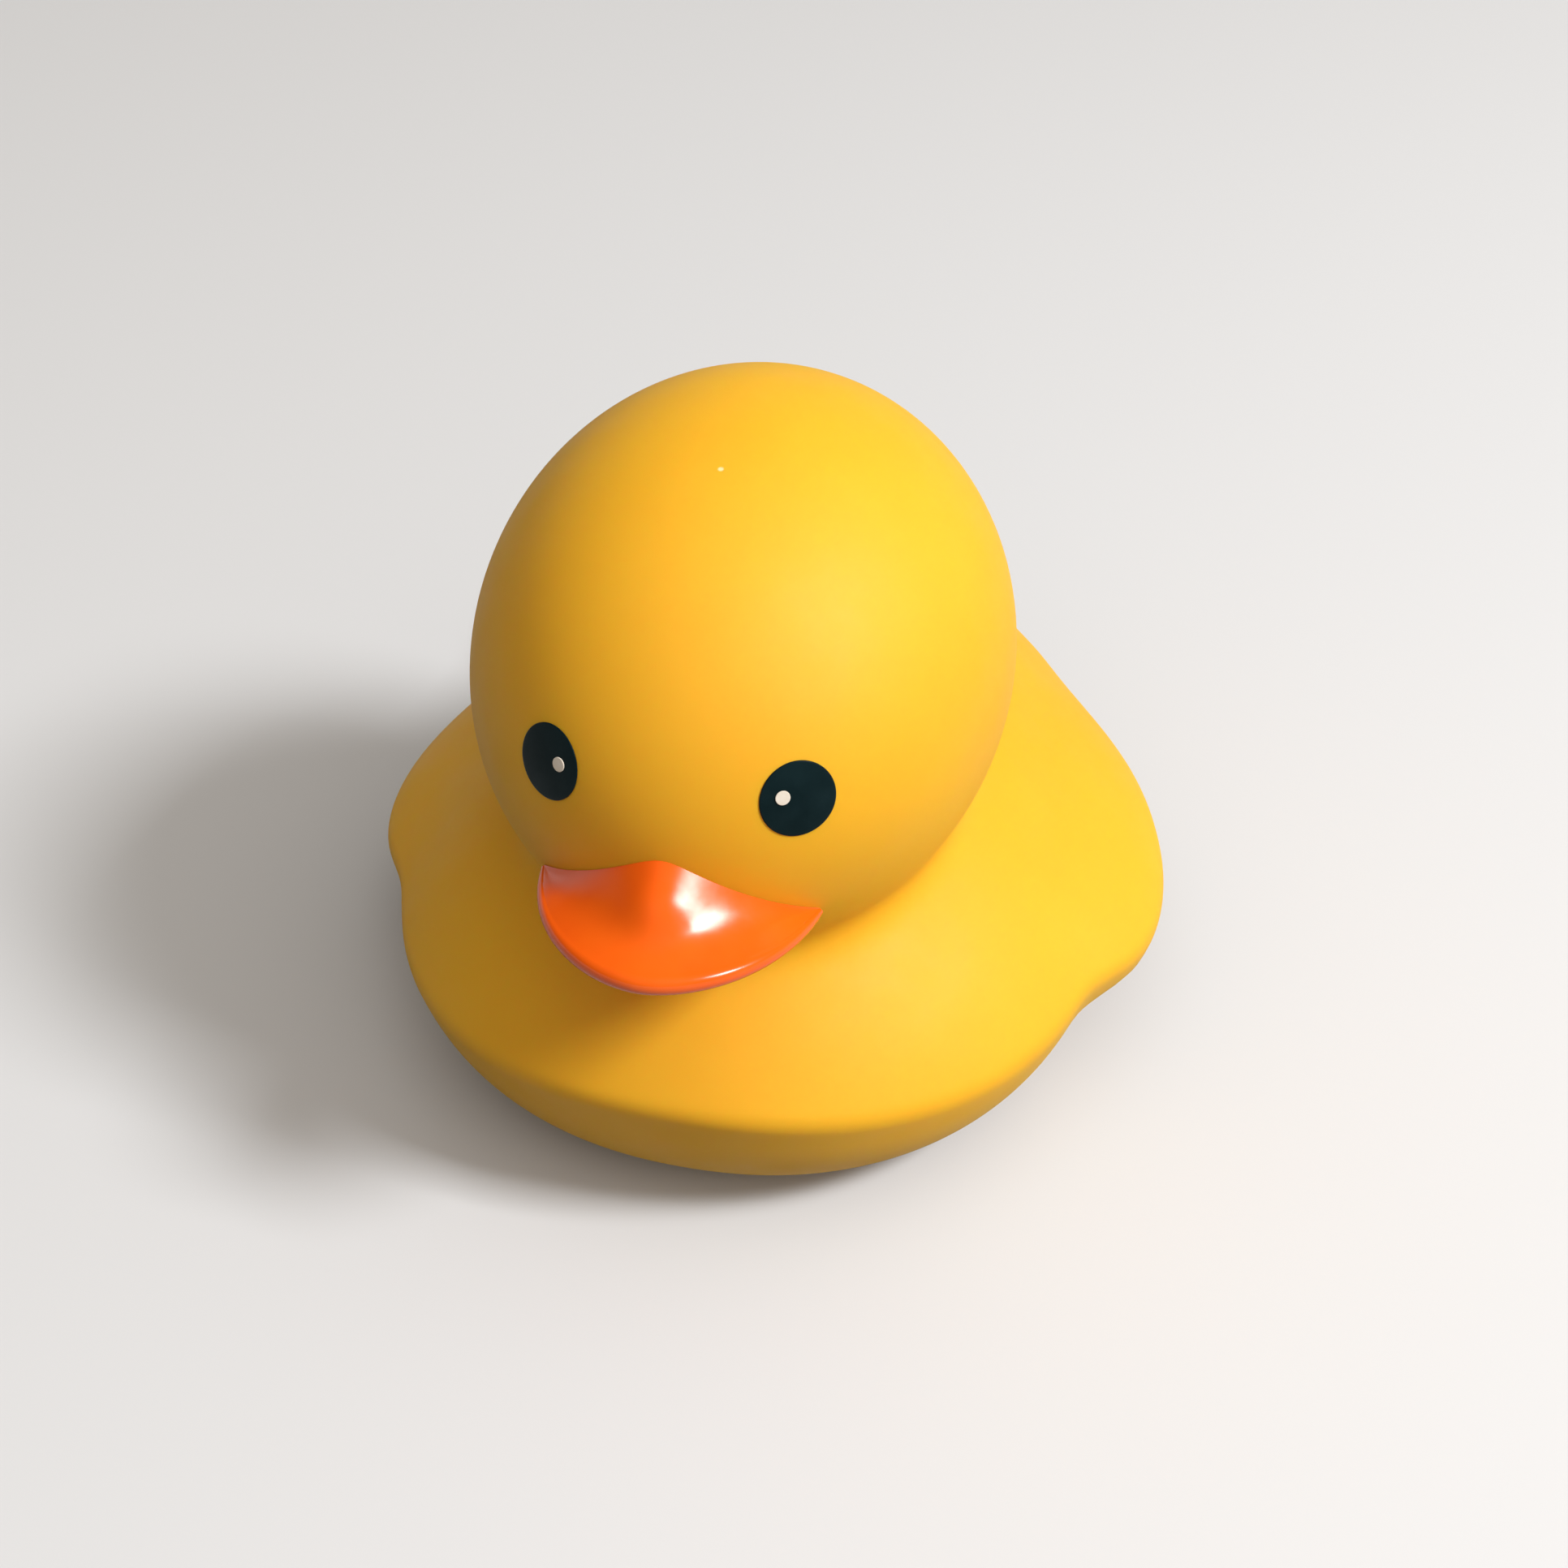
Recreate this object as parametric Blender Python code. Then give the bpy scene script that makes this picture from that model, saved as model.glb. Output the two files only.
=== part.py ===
# A bath duck: one hollow moulded vinyl shell with painted bill and eyes, and a squeaker in its base.
# Metres, +Z up, the duck faces -Y, its left side is +X, and it stands on z = 0.
import math

import bmesh
import bpy
import numpy as np

# Head: an egg lying along the duck, nose slightly down
HEAD_HALF_WIDTH = 0.0235
HEAD_HALF_LENGTH = 0.0281
HEAD_HALF_HEIGHT = 0.0235
HEAD_HEIGHT = 0.0438
HEAD_Y = -0.0070
HEAD_PITCH = math.radians(4.2)
NECK_BLEND = 0.0045

# Body: a dome over an inward leaning hull, widest a little behind the head
BODY_Y = -0.0033
DOME_HALF_WIDTH = 0.0383
DOME_FRONT = 0.0406
DOME_REAR = 0.0599
DOME_HEIGHT = 0.0370
DOME_BASE = -0.0030
DOME_POWER = 2.0
PLAN_POWER = 2.15
HULL_HALF_WIDTH = 0.0331
HULL_FRONT = 0.0328
HULL_REAR = 0.0460
HULL_GAUGE_HEIGHT = 0.0110
HULL_LEAN = math.radians(15.0)
CHINE_BLEND = 0.0010
BASE_BLEND = 0.0121

# Wings: a lobe on each flank, turned out towards the tail, with a crisp lower edge over an undercut
WING_X = 0.0245
WING_Y = 0.0084
WING_HEIGHT = 0.0080
WING_HALF_WIDTH = 0.0142
WING_HALF_LENGTH = 0.0217
WING_HALF_THICKNESS = 0.0110
WING_YAW = math.radians(17.4)
WING_BLEND = 0.0060
WING_TRIM = 0.0018
WING_UNDERCUT = math.radians(40.0)
WING_NOTCH = 0.0030

# Tail: a short upturned point
TAIL_Y = 0.0340
TAIL_HEIGHT = 0.0240
TAIL_HALF_WIDTH = 0.0110
TAIL_HALF_LENGTH = 0.0165
TAIL_HALF_THICKNESS = 0.0062
TAIL_PITCH = math.radians(33.0)
TAIL_BLEND = 0.0100

# Bill: a short broad scoop with a centre ridge, a rounded lip and a mouth line over a small lower jaw
BILL_CORNER_AZIMUTH = math.radians(27.5)
BILL_ROOT_TOP = math.radians(-0.4)
BILL_ROOT_SLOPE = 0.65
BILL_ROOT_ROUND = math.radians(3.0)
BILL_ROOT_BOTTOM = math.radians(-33.0)
BILL_CORNER_BOTTOM = math.radians(-20.0)
BILL_HALF_WIDTH = 0.0116
BILL_REACH = 0.0134
BILL_SETBACK = 0.0047
BILL_PLAN_POWER = 1.8
BILL_DROP = 0.0072
BILL_LIFT = 0.0020
BILL_CORNER_SHARE = 0.15
LIP_RADIUS = 0.0008
LIP_TURN = math.radians(140.0)
MOUTH_DEPTH = 0.0016
MOUTH_HEIGHT = 0.0007
JAW_INSET = 0.0022
JAW_HEIGHT = 0.0026
JAW_UNDERCUT = 0.0024
SCOOP_FALL = math.radians(50.0)
SCOOP_RUNOUT = math.radians(10.0)
SCOOP_FALL_SHARE = 0.36
SCOOP_RUNOUT_SHARE = 0.45
CREST_WIDTH = 0.0030
CREST_START_SHARE = 0.30
CREST_END_SHARE = 0.85
BILL_END_SHARE = 0.94
BILL_PAINT_START = 0.00010

# Eyes: flat painted ovals, each with a small glint on its inner side
EYE_AZIMUTH = math.radians(22.8)
EYE_ELEVATION = math.radians(11.1)
EYE_HALF_WIDTH = 0.00328
EYE_HALF_HEIGHT = 0.00335
GLINT_AZIMUTH = math.radians(20.0)
GLINT_ELEVATION = math.radians(11.9)
GLINT_RADIUS = 0.00062
OVAL_BEVEL_SHARE = 0.3
OVAL_RIM_SHARE = 0.93
OVAL_INNER_SHARE = 0.55

# Wall, paint and the squeaker's seat
WALL = 0.0021
BILL_ROOT_DEPTH = 0.0012
PAINT_GAP = 0.00003
PAINT = 0.00012
EYE_GAP = 0.00006
EYE_PAINT = 0.00020
GLINT_PAINT = 0.00008
SEAT_RADIUS = 0.0095
SEAT_DEPTH = 0.0014
HOLE_RADIUS = 0.0060
CLEARANCE = 0.0003
FLANGE_THICKNESS = 0.0009
SQUEAKER_HEIGHT = 0.0090
BEAD_RADIUS = 0.0065
BEAD_HEIGHT = 0.0012
VENT_RADIUS = 0.0016
REED_LENGTH = 0.0070
REED_RECESS = 0.0005
REED_START = math.radians(140.0)
REED_ARC = math.radians(260.0)

# Mesh fineness
COLUMNS = 68
ROWS = (9, 2, 11, 5, 17)
REAR_CROWDING = 0.30
TAIL_CROWDING = 0.10
CAVITY_COLUMNS = 32
CAVITY_ROWS = (4, 1, 5, 3, 7)
BILL_COLUMNS = 25
BILL_TOP_ROWS = 8
LIP_ROWS = 3
JAW_ROWS = 3
ROOT_LEVELS = 5
FINE_STEPS = 40
EYE_SIDES = 22
GLINT_SIDES = 12
TURNED_SIDES = 28
REED_STEPS = 12
TRACE_STEP = 0.0004

VINYL = (0.95, 0.52, 0.035)
ORANGE = (0.95, 0.10, 0.005)
EYE_BLACK = (0.004, 0.010, 0.012)
GLINT_WHITE = (0.75, 0.70, 0.60)
PLUG_WHITE = (0.80, 0.78, 0.70)
REED_GREY = (0.45, 0.45, 0.43)


def clear_scene():
    for item in list(bpy.data.objects):
        bpy.data.objects.remove(item)


def material(name, colour, roughness, metallic=0.0):
    made = bpy.data.materials.new(name)
    made.use_nodes = True
    shader = made.node_tree.nodes["Principled BSDF"]
    shader.inputs["Base Color"].default_value = (*colour, 1.0)
    shader.inputs["Roughness"].default_value = roughness
    shader.inputs["Metallic"].default_value = metallic
    return made


# Fields: each is below zero inside its form and about the distance in metres near its surface
def superellipsoid(point, radii, power=2.0):
    ratio = np.abs(point) / radii
    size = (ratio ** power).sum(-1) ** (1.0 / power) + 1e-12
    slope = ratio ** (power - 1.0) / radii * size[..., None] ** (1.0 - power)
    return (size - 1.0) / (np.linalg.norm(slope, axis=-1) + 1e-9)


def blend(first, second, width):
    share = np.clip(0.5 + 0.5 * (second - first) / width, 0.0, 1.0)
    return second + (first - second) * share - width * share * (1.0 - share)


def trim(first, second, width):
    return -blend(-first, -second, width)


def pitched(point, angle):
    y = math.cos(angle) * point[..., 1] - math.sin(angle) * point[..., 2]
    z = math.sin(angle) * point[..., 1] + math.cos(angle) * point[..., 2]
    return np.stack([point[..., 0], y, z], -1)


HEAD_CENTRE = np.array([0.0, HEAD_Y, HEAD_HEIGHT])
HEAD_RADII = np.array([HEAD_HALF_WIDTH, HEAD_HALF_LENGTH, HEAD_HALF_HEIGHT])


def head_field(point):
    return superellipsoid(pitched(point - HEAD_CENTRE, -HEAD_PITCH), HEAD_RADII)


def dome_field(point):
    local = point - np.array([0.0, BODY_Y, DOME_BASE])
    length = np.where(local[..., 1] < 0.0, DOME_FRONT, DOME_REAR)
    radii = np.stack([np.full_like(length, DOME_HALF_WIDTH), length, np.full_like(length, DOME_HEIGHT)], -1)
    return superellipsoid(local, radii, DOME_POWER)


def wing_place(point):
    """The point seen from the nearer wing: across it, along it and above its middle."""
    x = np.abs(point[..., 0]) - WING_X
    y = point[..., 1] - WING_Y
    along = math.cos(WING_YAW) * y - math.sin(WING_YAW) * x
    across = math.cos(WING_YAW) * x + math.sin(WING_YAW) * y
    return np.stack([across, along, point[..., 2] - WING_HEIGHT], -1)


def wing_field(point):
    radii = np.array([WING_HALF_WIDTH, WING_HALF_LENGTH, WING_HALF_THICKNESS])
    return superellipsoid(wing_place(point), radii, PLAN_POWER)


def top_field(point):
    """The rounded upper side, with the wings in it."""
    return blend(dome_field(point), wing_field(point), WING_BLEND)


def hull_field(point):
    """The leaning lower side, with the wings' undercut edges in it."""
    rise = point[..., 2] - HULL_GAUGE_HEIGHT
    flare = rise * math.tan(HULL_LEAN)
    local = point[..., :2] - np.array([0.0, BODY_Y])
    length = np.where(local[..., 1] < 0.0, HULL_FRONT, HULL_REAR) + flare
    hull = superellipsoid(local, np.stack([HULL_HALF_WIDTH + flare, length], -1), PLAN_POWER)
    spare = np.minimum(rise * math.tan(WING_UNDERCUT), flare) - WING_TRIM
    radii = np.stack([WING_HALF_WIDTH + spare, WING_HALF_LENGTH + spare], -1)
    edge = superellipsoid(wing_place(point)[..., :2], radii, PLAN_POWER)
    return blend(hull, edge, WING_NOTCH) * math.cos(HULL_LEAN)


def tail_field(point):
    local = pitched(point - np.array([0.0, TAIL_Y, TAIL_HEIGHT]), -TAIL_PITCH)
    return superellipsoid(local, np.array([TAIL_HALF_WIDTH, TAIL_HALF_LENGTH, TAIL_HALF_THICKNESS]))


def body_field(point):
    body = trim(top_field(point), hull_field(point), CHINE_BLEND)
    body = blend(body, tail_field(point), TAIL_BLEND)
    return trim(body, -point[..., 2], BASE_BLEND)


def duck_field(point):
    return blend(body_field(point), head_field(point), NECK_BLEND)


# Profiles: the duck's outline in upright half planes round the head's axis, from the base to the crown
def in_plane(azimuth, profile):
    radius, height = profile[..., 0], profile[..., 1]
    return np.stack([radius * np.sin(azimuth), HEAD_Y - radius * np.cos(azimuth), height], -1)


def plane_slope(field, azimuth, profile):
    nudge = 1e-6
    out = np.array([nudge, 0.0])
    up = np.array([0.0, nudge])
    across = field(in_plane(azimuth, profile + out)) - field(in_plane(azimuth, profile - out))
    along = field(in_plane(azimuth, profile + up)) - field(in_plane(azimuth, profile - up))
    return np.stack([across, along], -1) / (2.0 * nudge)


def settle(field, azimuth, profile, rounds=3):
    for _ in range(rounds):
        slope = plane_slope(field, azimuth, profile)
        value = field(in_plane(azimuth, profile))
        profile = profile - slope * (value / (slope ** 2).sum(-1))[..., None]
    return profile


def trace(field, azimuth, start_radius, floor):
    """Follow the field's zero line in every half plane at once, from the floor up to the crown."""
    profile = np.tile([start_radius, floor], (len(azimuth), 1))
    steps = [profile]
    while profile[:, 0].max() > -TRACE_STEP and len(steps) < 2000:
        slope = plane_slope(field, azimuth, profile)
        slope /= np.linalg.norm(slope, axis=-1)[:, None]
        ahead = profile + TRACE_STEP * np.stack([-slope[:, 1], slope[:, 0]], -1)
        ahead = settle(field, azimuth, ahead, 1)
        profile = np.where(profile[:, :1] > -TRACE_STEP, ahead, profile)
        steps.append(profile)
    return np.stack(steps, 1)


def spread(line, first, last, count):
    """Points at equal steps along a traced line, from index first to index last."""
    part = line[first:last + 1]
    length = np.concatenate([[0.0], np.cumsum(np.linalg.norm(np.diff(part, axis=0), axis=1))])
    wanted = np.linspace(0.0, length[-1], count + 1)
    return np.stack([np.interp(wanted, length, part[:, k]) for k in range(2)], -1)


def skin_rings(field, columns, rows, floor):
    """Rings of points over the whole form, the first round its flat base, the last at the crown.
    The rows are counted from the base to the chine, over it, on to the neck's fillet, over it and to the crown."""
    turn = np.arange(columns) * 2.0 * math.pi / columns
    azimuth = turn + REAR_CROWDING * np.sin(turn) - TAIL_CROWDING * np.sin(2.0 * turn)
    lines = trace(field, azimuth, SEAT_RADIUS + 2.0 * WALL, floor)
    rings = []
    for angle, line in zip(azimuth, lines):
        points = in_plane(np.full(len(line), angle), line)
        above_hull = top_field(points) - hull_field(points)
        above_body = body_field(points) - head_field(points)
        marks = [int(np.argmax(line[:, 1] > floor + 1e-6)) - 1]
        for passed in (above_hull > -CHINE_BLEND, above_hull > CHINE_BLEND, above_body > -NECK_BLEND,
                       above_body > NECK_BLEND, line[:, 0] <= 0.0):
            marks.append(marks[-1] + 1 + int(np.argmax(passed[marks[-1] + 1:])))
        parts = [spread(line, first, last, count)[1:] for first, last, count in zip(marks, marks[1:], rows)]
        rings.append(np.concatenate([line[marks[:1]]] + parts))
    rings = np.stack(rings, 1)
    for row in range(1, len(rings) - 1):
        rings[row] = settle(field, azimuth, rings[row])
    rings[0, :, 1] = floor
    return in_plane(azimuth, rings)


# Meshes
def mesh_object(name, points, faces, skin, parent):
    mesh = bpy.data.meshes.new(name)
    mesh.from_pydata([tuple(p) for p in points], [], faces)
    mesh.validate()
    if skin is not None:
        mesh.materials.append(skin)
    made = bpy.data.objects.new(name, mesh)
    bpy.context.collection.objects.link(made)
    made.parent = parent
    return made


def smooth(item, angle):
    item.data.shade_smooth()
    item.data.set_sharp_from_angle(angle=angle)


def grid_faces(rows, columns, closed=True):
    """Triangles of a grid whose rings run round, facing out when rows go up and columns go round."""
    faces = []
    for row in range(rows - 1):
        for column in range(columns if closed else columns - 1):
            a = row * columns + column
            b = row * columns + (column + 1) % columns
            c, d = b + columns, a + columns
            faces += [(a, b, c), (a, c, d)]
    return faces


def closed_form(name, rings, skin, parent):
    """A closed solid from rings: a flat face under the first ring, a fan to one point at the last."""
    columns = rings.shape[1]
    sides = rings[:-1]
    points = np.concatenate([sides.reshape(-1, 3), rings[-1].mean(0)[None]])
    faces = grid_faces(len(sides), columns)
    faces.append(tuple(range(columns))[::-1])
    last = (len(sides) - 1) * columns
    top = len(points) - 1
    faces += [(last + k, last + (k + 1) % columns, top) for k in range(columns)]
    return mesh_object(name, points, faces, skin, parent)


def turned(name, outline, skin, parent, place, segments=TURNED_SIDES):
    """A solid turned round an upright axis. The outline of (radius, height) points runs up its outer side."""
    form = bmesh.new()
    verts = [form.verts.new((radius, 0.0, height)) for radius, height in outline]
    edges = [form.edges.new(pair) for pair in zip(verts, verts[1:])]
    if outline[0][0] > 0.0:
        edges.append(form.edges.new((verts[-1], verts[0])))
    bmesh.ops.spin(form, geom=verts + edges, axis=(0.0, 0.0, 1.0), cent=(0.0, 0.0, 0.0),
                   angle=2.0 * math.pi, steps=segments, use_duplicate=False)
    bmesh.ops.remove_doubles(form, verts=form.verts, dist=1e-7)
    bmesh.ops.recalc_face_normals(form, faces=form.faces)
    mesh = bpy.data.meshes.new(name)
    form.to_mesh(mesh)
    form.free()
    if skin is not None:
        mesh.materials.append(skin)
    made = bpy.data.objects.new(name, mesh)
    bpy.context.collection.objects.link(made)
    made.location = place
    made.parent = parent
    return made


def combine(target, other, operation):
    change = target.modifiers.new(other.name, "BOOLEAN")
    change.object = other
    change.operation = operation
    change.solver = "EXACT"
    other.hide_render = True
    other.display_type = "WIRE"


def grid_normals(grid):
    """Unit normals of an open grid of points, by differences along its rows and columns."""
    along = np.gradient(grid, axis=0)
    across = np.gradient(grid, axis=1)
    normal = np.cross(along, across)
    return normal / np.linalg.norm(normal, axis=-1)[..., None]


# Points on the head, given by direction from its centre
def head_point(azimuth, elevation, depth=0.0):
    azimuth, elevation, depth = np.broadcast_arrays(azimuth, elevation, depth)
    flat = np.cos(elevation)
    aim = np.stack([np.sin(azimuth) * flat, -np.cos(azimuth) * flat, np.sin(elevation)], -1)
    local = pitched(aim, -HEAD_PITCH)
    local = local / np.linalg.norm(local / HEAD_RADII, axis=-1)[..., None]
    out = local / HEAD_RADII ** 2
    out /= np.linalg.norm(out, axis=-1)[..., None]
    return HEAD_CENTRE + pitched(local - out * depth[..., None], HEAD_PITCH)


# Bill
def bill_roots(turn):
    """Elevations on the head of the bill's top and bottom root, with the azimuth, for a turn of -1 to 1."""
    azimuth = turn * BILL_CORNER_AZIMUTH
    top = BILL_ROOT_TOP - BILL_ROOT_SLOPE * (math.hypot(azimuth, BILL_ROOT_ROUND) - BILL_ROOT_ROUND)
    bottom = BILL_ROOT_BOTTOM + (BILL_CORNER_BOTTOM - BILL_ROOT_BOTTOM) * turn ** 2
    return azimuth, top, bottom


def bill_top(root, lip, out, share):
    """A point of the bill's upper face: beside a crest down its middle it falls steeply, then runs out flat."""
    up = np.array([0.0, 0.0, 1.0])
    reach = np.linalg.norm(lip - root)
    fall = root + (out * math.cos(SCOOP_FALL) - up * math.sin(SCOOP_FALL)) * reach * SCOOP_FALL_SHARE
    runout = lip - (out * math.cos(SCOOP_RUNOUT) - up * math.sin(SCOOP_RUNOUT)) * reach * SCOOP_RUNOUT_SHARE
    left = 1.0 - share
    scoop = left ** 3 * root + 3.0 * left ** 2 * share * fall + 3.0 * left * share ** 2 * runout + share ** 3 * lip
    crest = root + (lip - root) * share
    fade = min(max((CREST_END_SHARE - share) / (CREST_END_SHARE - CREST_START_SHARE), 0.0), 1.0)
    middle = math.exp(-(crest[0] / CREST_WIDTH) ** 2)
    return scoop + (crest - scoop) * middle * fade ** 2 * (3.0 - 2.0 * fade)


def jaw_outline():
    """The jaw's round front under the mouth, as insets from the lip and drops below it."""
    quarter = np.linspace(0.0, 0.5 * math.pi, JAW_ROWS + 1)[1:]
    return [(JAW_INSET + JAW_UNDERCUT * (1.0 - math.cos(angle)), MOUTH_HEIGHT + JAW_HEIGHT * math.sin(angle))
            for angle in quarter]


def bill_line(turn):
    """The bill's outer line at one turn, from its top root over the lip and the mouth to its lower root."""
    azimuth, root_top, root_bottom = bill_roots(turn)
    top, bottom = head_point(azimuth, root_top), head_point(azimuth, root_bottom)
    sweep = turn * math.pi / 2.0
    across, ahead = math.sin(sweep), math.cos(sweep)
    out = np.array([across, -ahead, 0.0])
    up = np.array([0.0, 0.0, 1.0])
    full = BILL_CORNER_SHARE + (1.0 - BILL_CORNER_SHARE) * math.sqrt(ahead)
    edge = LIP_RADIUS * full
    bend = 2.0 / BILL_PLAN_POWER
    plan = np.array([math.copysign(abs(across) ** bend, across) * (BILL_HALF_WIDTH - edge),
                     -ahead ** bend * (BILL_REACH - edge), ahead ** bend * BILL_LIFT])
    lip = np.array([0.0, HEAD_Y - HEAD_HALF_LENGTH + BILL_SETBACK, HEAD_HEIGHT - BILL_DROP]) + plan
    points = [bill_top(top, lip, out, k / BILL_TOP_ROWS) for k in range(BILL_TOP_ROWS + 1)]
    for angle in np.linspace(0.0, LIP_TURN, LIP_ROWS + 1)[1:]:
        points.append(lip + out * edge * math.sin(angle) - up * edge * (1.0 - math.cos(angle)))
    under = lip - up * 2.0 * edge
    for inset, drop in [(MOUTH_DEPTH, 0.0), (MOUTH_DEPTH, MOUTH_HEIGHT)] + jaw_outline():
        points.append(under - (out * inset + up * drop) * full)
    points.append(bottom)
    return np.array(points)


def bill_outside(line):
    """The bill line cut off where it enters the duck, with as many points as before at both sides of the lip."""
    share = np.linspace(0.0, len(line) - 1.0, FINE_STEPS * (len(line) - 1) + 1)
    fine = np.stack([np.interp(share, np.arange(len(line)), line[:, k]) for k in range(3)], -1)
    clear = share[duck_field(fine) > BILL_PAINT_START]
    below = min(LIP_ROWS, 0.5 * (clear[-1] - BILL_TOP_ROWS))
    rest = len(line) - BILL_TOP_ROWS - LIP_ROWS
    wanted = np.concatenate([np.linspace(clear[0], BILL_TOP_ROWS, BILL_TOP_ROWS + 1),
                             np.linspace(BILL_TOP_ROWS, BILL_TOP_ROWS + below, LIP_ROWS + 1)[1:],
                             np.linspace(BILL_TOP_ROWS + below, clear[-1], rest)[1:]])
    return np.stack([np.interp(wanted, share, fine[:, k]) for k in range(3)], -1)


def bill_skin():
    """The bill's visible surface as a grid, from its right corner to its left and from root to root."""
    even = np.linspace(-1.0, 1.0, BILL_COLUMNS)
    turns = 0.5 * (even + np.sin(0.5 * math.pi * even)) * BILL_END_SHARE
    return turns, np.stack([bill_outside(bill_line(turn)) for turn in turns])


def bill_form(parent):
    """The bill as a closed solid, let into the head's wall so that the two join."""
    turns, skin = bill_skin()
    sections = []
    for turn, row in zip(turns, skin):
        azimuth, top, bottom = bill_roots(turn)
        levels = np.linspace(bottom, top, ROOT_LEVELS)
        sections.append(np.concatenate([row, head_point(azimuth, levels, BILL_ROOT_DEPTH)]))
    sections = np.array(sections)
    rows, count = sections.shape[:2]
    ends = sections[[0, -1]].mean(1)
    points = np.concatenate([sections.reshape(-1, 3), ends])
    faces = grid_faces(rows, count)
    right, left, last = len(points) - 2, len(points) - 1, (rows - 1) * count
    faces += [((k + 1) % count, k, right) for k in range(count)]
    faces += [(last + k, last + (k + 1) % count, left) for k in range(count)]
    return mesh_object("bill_form", points, faces, None, parent)


def bill_paint(skin_material, parent):
    """The orange paint: a thin coat that follows the bill's visible surface."""
    skin = bill_skin()[1]
    normal = -grid_normals(skin)
    rows, count = skin.shape[:2]
    under, over = skin + normal * PAINT_GAP, skin + normal * (PAINT_GAP + PAINT)
    points = np.concatenate([over.reshape(-1, 3), under.reshape(-1, 3)])
    half = rows * count
    faces = grid_faces(rows, count, closed=False)
    faces += [tuple(half + k for k in face[::-1]) for face in faces]
    rim = [k for k in range(count)]
    rim += [row * count + count - 1 for row in range(1, rows)]
    rim += [(rows - 1) * count + k for k in range(count - 2, -1, -1)]
    rim += [row * count for row in range(rows - 2, 0, -1)]
    for a, b in zip(rim, rim[1:] + rim[:1]):
        faces += [(b, a, half + a), (b, half + a, half + b)]
    made = mesh_object("bill_paint", points, faces, skin_material, parent)
    smooth(made, math.radians(50.0))
    return made


# Eyes
def painted_oval(name, azimuth, elevation, half_width, half_height, gap, paint, sides, skin, parent):
    """A flat painted spot on the head: an oval plate that follows the head's curve."""
    angles = np.arange(sides) * 2.0 * math.pi / sides
    rings = []
    bevelled = gap + paint * (1.0 - OVAL_BEVEL_SHARE)
    for share, lift in ((OVAL_INNER_SHARE, gap), (1.0, gap), (1.0, bevelled), (OVAL_RIM_SHARE, gap + paint),
                        (OVAL_INNER_SHARE, gap + paint)):
        turn = azimuth + share * half_width * np.cos(angles) / (HEAD_HALF_LENGTH * math.cos(elevation))
        level = elevation + share * half_height * np.sin(angles) / HEAD_HALF_LENGTH
        rings.append(head_point(turn, level, -lift))
    centres = [head_point(azimuth, elevation, -gap), head_point(azimuth, elevation, -gap - paint)]
    points = np.concatenate([np.concatenate(rings), np.array(centres)])
    faces = grid_faces(len(rings), sides)
    under, over, last = len(points) - 2, len(points) - 1, (len(rings) - 1) * sides
    faces += [((k + 1) % sides, k, under) for k in range(sides)]
    faces += [(last + k, last + (k + 1) % sides, over) for k in range(sides)]
    made = mesh_object(name, points, faces, skin, parent)
    smooth(made, math.radians(50.0))
    return made


def eyes(parent):
    black = material("eye_paint", EYE_BLACK, 0.35)
    white = material("glint_paint", GLINT_WHITE, 0.4)
    for side, name in ((1.0, "left"), (-1.0, "right")):
        painted_oval("eye_" + name, side * EYE_AZIMUTH, EYE_ELEVATION, EYE_HALF_WIDTH, EYE_HALF_HEIGHT,
                     EYE_GAP, EYE_PAINT, EYE_SIDES, black, parent)
        painted_oval("eye_glint_" + name, side * GLINT_AZIMUTH, GLINT_ELEVATION, GLINT_RADIUS, GLINT_RADIUS,
                     2.0 * EYE_GAP + EYE_PAINT, GLINT_PAINT, GLINT_SIDES, white, parent)


# Shell
def shell(skin, parent):
    floor_rise = SEAT_DEPTH + WALL
    at_hole = (0.0, HEAD_Y, 0.0)
    outer = skin_rings(duck_field, COLUMNS, ROWS, 0.0)
    made = closed_form("vinyl_shell", outer, skin, parent)
    combine(made, bill_form(parent), "UNION")
    inner = skin_rings(lambda point: duck_field(point) + WALL, CAVITY_COLUMNS, CAVITY_ROWS, WALL)
    combine(made, closed_form("cavity", inner, None, parent), "DIFFERENCE")
    boss = [(0.0, 0.5 * WALL), (SEAT_RADIUS + WALL, 0.5 * WALL), (SEAT_RADIUS + WALL, floor_rise),
            (0.0, floor_rise)]
    combine(made, turned("seat_boss", boss, None, parent, at_hole), "UNION")
    seat = [(0.0, -WALL), (SEAT_RADIUS, -WALL), (SEAT_RADIUS, SEAT_DEPTH), (HOLE_RADIUS, SEAT_DEPTH),
            (HOLE_RADIUS, floor_rise + WALL), (0.0, floor_rise + WALL)]
    combine(made, turned("seat_cut", seat, None, parent, at_hole), "DIFFERENCE")
    smooth(made, math.radians(35.0))
    return outer


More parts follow.
